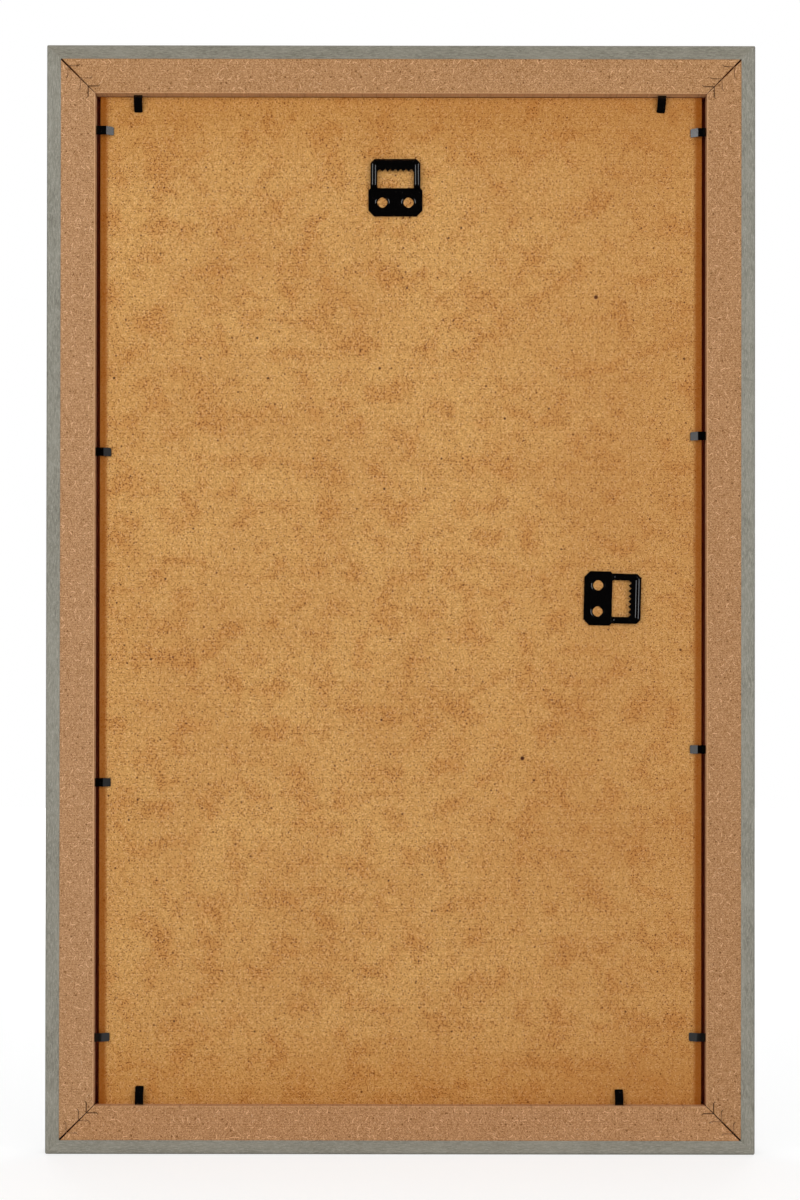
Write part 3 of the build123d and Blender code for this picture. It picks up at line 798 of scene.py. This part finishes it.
def make_floor():
    """A large square under the frame, whose own white takes over from the lamps' light further out."""
    corners = floor_half * np.array([[-1.0, -1, 0], [1, -1, 0], [1, 1, 0], [-1, 1, 0]])
    corners[:, 2] = cad_low.z
    mesh = bpy.data.meshes.new("floor")
    mesh.from_pydata(corners.tolist(), [], [(0, 1, 2, 3)])
    floor = bpy.data.objects.new("floor", mesh)
    bpy.context.scene.collection.objects.link(floor)
    finish, tree, shader, spot = new_finish(
        "pale_floor",
        Base_Color=floor_paint,
        Roughness=0.9,
        Specular_IOR_Level=0.0,
    )
    path = tree.nodes.new("ShaderNodeLightPath").outputs
    seen = calc(tree, "MAXIMUM", path["Is Camera Ray"], path["Is Transmission Ray"])
    white = place(tree, "ShaderNodeEmission", {"Strength": floor_white}).outputs["Emission"]
    reach = place(tree, "ShaderNodeVectorMath", {0: spot}, operation="LENGTH").outputs["Value"]
    far = calc(tree, "MULTIPLY", fade(tree, reach, near_reach, far_reach), 1 - near_share)
    share = calc(tree, "MULTIPLY", seen, calc(tree, "ADD", far, near_share))
    both = place(tree, "ShaderNodeMixShader", {0: share, 1: shader.outputs["BSDF"], 2: white})
    tree.links.new(both.outputs["Shader"], tree.nodes["Material Output"].inputs["Surface"])
    floor.data.materials.append(finish)
    return floor


floor = make_floor()
floor.visible_glossy = False
print("floor at height", round(floor.data.vertices[0].co.z, 4))

# %% [markdown]
# ## World and lamps
# Two tall soft lamps stand left and right, on the side of the back: each rail throws a soft shadow on
# the sheet beside it, bent tabs and pressed beads catch a lamp, and flat black steel stays dark. Two
# lamps nearer the camera, which gloss doesn't see, take the edge off those shadows. Two more light the
# front, and soft lamps overhead light the floor and the lower wall of the rebate. Camera rays see a
# white world, and gloss and glass see that white beyond the frame, so the background is white with no
# extra light on the object.

# %% World and lamps
even_light = 0.16
dark_in_gloss = 0.017
lamp_reach = 1.74
lamp_height = 0.6
lamp_size = (0.46, 1.2)


def make_world():
    """Dim even light, white for camera rays; gloss and glass see white beyond the frame, else dark."""
    world = bpy.data.worlds.new("studio")
    world.use_nodes = True
    tree = world.node_tree
    dim = tree.nodes["Background"]
    dim.inputs["Color"].default_value = (1, 1, 1, 1)
    dim.inputs["Strength"].default_value = even_light
    dark = place(tree, "ShaderNodeBackground", {"Color": (1, 1, 1, 1), "Strength": dark_in_gloss})
    white = place(tree, "ShaderNodeBackground", {"Color": (1, 1, 1, 1), "Strength": 1.0})
    path = tree.nodes.new("ShaderNodeLightPath").outputs
    heading = tree.nodes.new("ShaderNodeTexCoord").outputs["Generated"]
    forward = place(tree, "ShaderNodeSeparateXYZ", {"Vector": heading}).outputs["Y"]
    beyond = fade(tree, forward, 0.5, 0.9)
    mirrored = calc(tree, "MAXIMUM", path["Is Glossy Ray"], path["Is Transmission Ray"])
    lit = place(
        tree,
        "ShaderNodeMixShader",
        {0: mirrored, 1: dim.outputs["Background"], 2: dark.outputs["Background"]},
    )
    seen = calc(tree, "MAXIMUM", path["Is Camera Ray"], calc(tree, "MULTIPLY", mirrored, beyond))
    both = place(
        tree,
        "ShaderNodeMixShader",
        {0: seen, 1: lit.outputs["Shader"], 2: white.outputs["Background"]},
    )
    tree.links.new(both.outputs["Shader"], tree.nodes["World Output"].inputs["Surface"])
    bpy.context.scene.world = world


def add_lamp(name, place_at, turn, size, power):
    """A soft rectangular lamp at a place, turned by Euler angles from looking straight down."""
    lamp = bpy.data.lights.new(name, "AREA")
    lamp.shape = "RECTANGLE"
    lamp.size = size[0]
    lamp.size_y = size[1]
    lamp.energy = power
    holder = bpy.data.objects.new(name, lamp)
    holder.location = place_at
    holder.rotation_euler = turn
    bpy.context.scene.collection.objects.link(holder)
    return holder


def add_side_lamp(name, angle, depth_side, power):
    """A tall lamp that faces the frame's middle, at an angle off the frame's axis."""
    place_at = (lamp_reach * np.sin(angle), depth_side * lamp_reach * np.cos(angle), lamp_height)
    across = np.arctan2(depth_side * np.cos(angle), np.sin(angle)) + np.pi / 2
    return add_lamp(name, place_at, (np.pi / 2, 0, across), lamp_size, power)


side_angle = np.radians(46.4)
side_power = 7.5
near_angle = np.radians(16)
near_power = 4.75
front_angle = np.radians(22.5)
front_power = 8.0
overhead_depths = {"lamp_overhead": -0.3, "lamp_overhead_front": 0.6}
overhead_height = 1.8
overhead_size = (1.5, 1.0)
overhead_power = 8.0
make_world()
for side, name in ((-1, "lamp_left"), (1, "lamp_right")):
    add_side_lamp(name, side * side_angle, -1, side_power)
    near = add_side_lamp(name + "_near", side * near_angle, -1, near_power)
    near.visible_glossy = False
    add_side_lamp(name + "_front", side * front_angle, 1, front_power)
for name, depth in overhead_depths.items():
    overhead = add_lamp(name, (0, depth, overhead_height), (0, 0, 0), overhead_size, overhead_power)
    overhead.visible_glossy = False
print("lamps:", [lamp.name for lamp in bpy.data.lights])

# %% [markdown]
# ## Camera
# The view is square on to the back, as in a catalogue. The camera stands a little below the middle, so
# that the upper wall of the rebate shows wider than the lower one, and its shift brings the frame back
# to the middle of the picture. It is not quite level, like any camera on a stand: it looks up by about
# a fifth of a degree, and leans a little to the left.

# %% Camera
camera_distance = 1.0
camera_drop = 75 * MM
camera_pitch = np.radians(0.22)
camera_lean = np.radians(0.075)
picture_height = 593.4 * MM
frame_lift = 0.40 * MM
camera_aside = -0.17 * MM
sensor = 36.0
lens = bpy.data.cameras.new("camera")
lens.sensor_width = sensor
lens.lens = sensor * camera_distance / picture_height
lens.shift_y = (camera_drop - camera_distance * np.tan(camera_pitch) - frame_lift) / picture_height
camera = bpy.data.objects.new("camera", lens)
camera.location = (camera_aside, cad_low.y - camera_distance, middle_height - camera_drop)
camera.rotation_euler = (np.pi / 2 + camera_pitch, -camera_lean, 0)
bpy.context.scene.collection.objects.link(camera)
bpy.context.scene.camera = camera
bpy.context.scene.view_settings.view_transform = "Standard"
print("lens in mm:", round(lens.lens, 2), "shift:", round(lens.shift_y, 4))
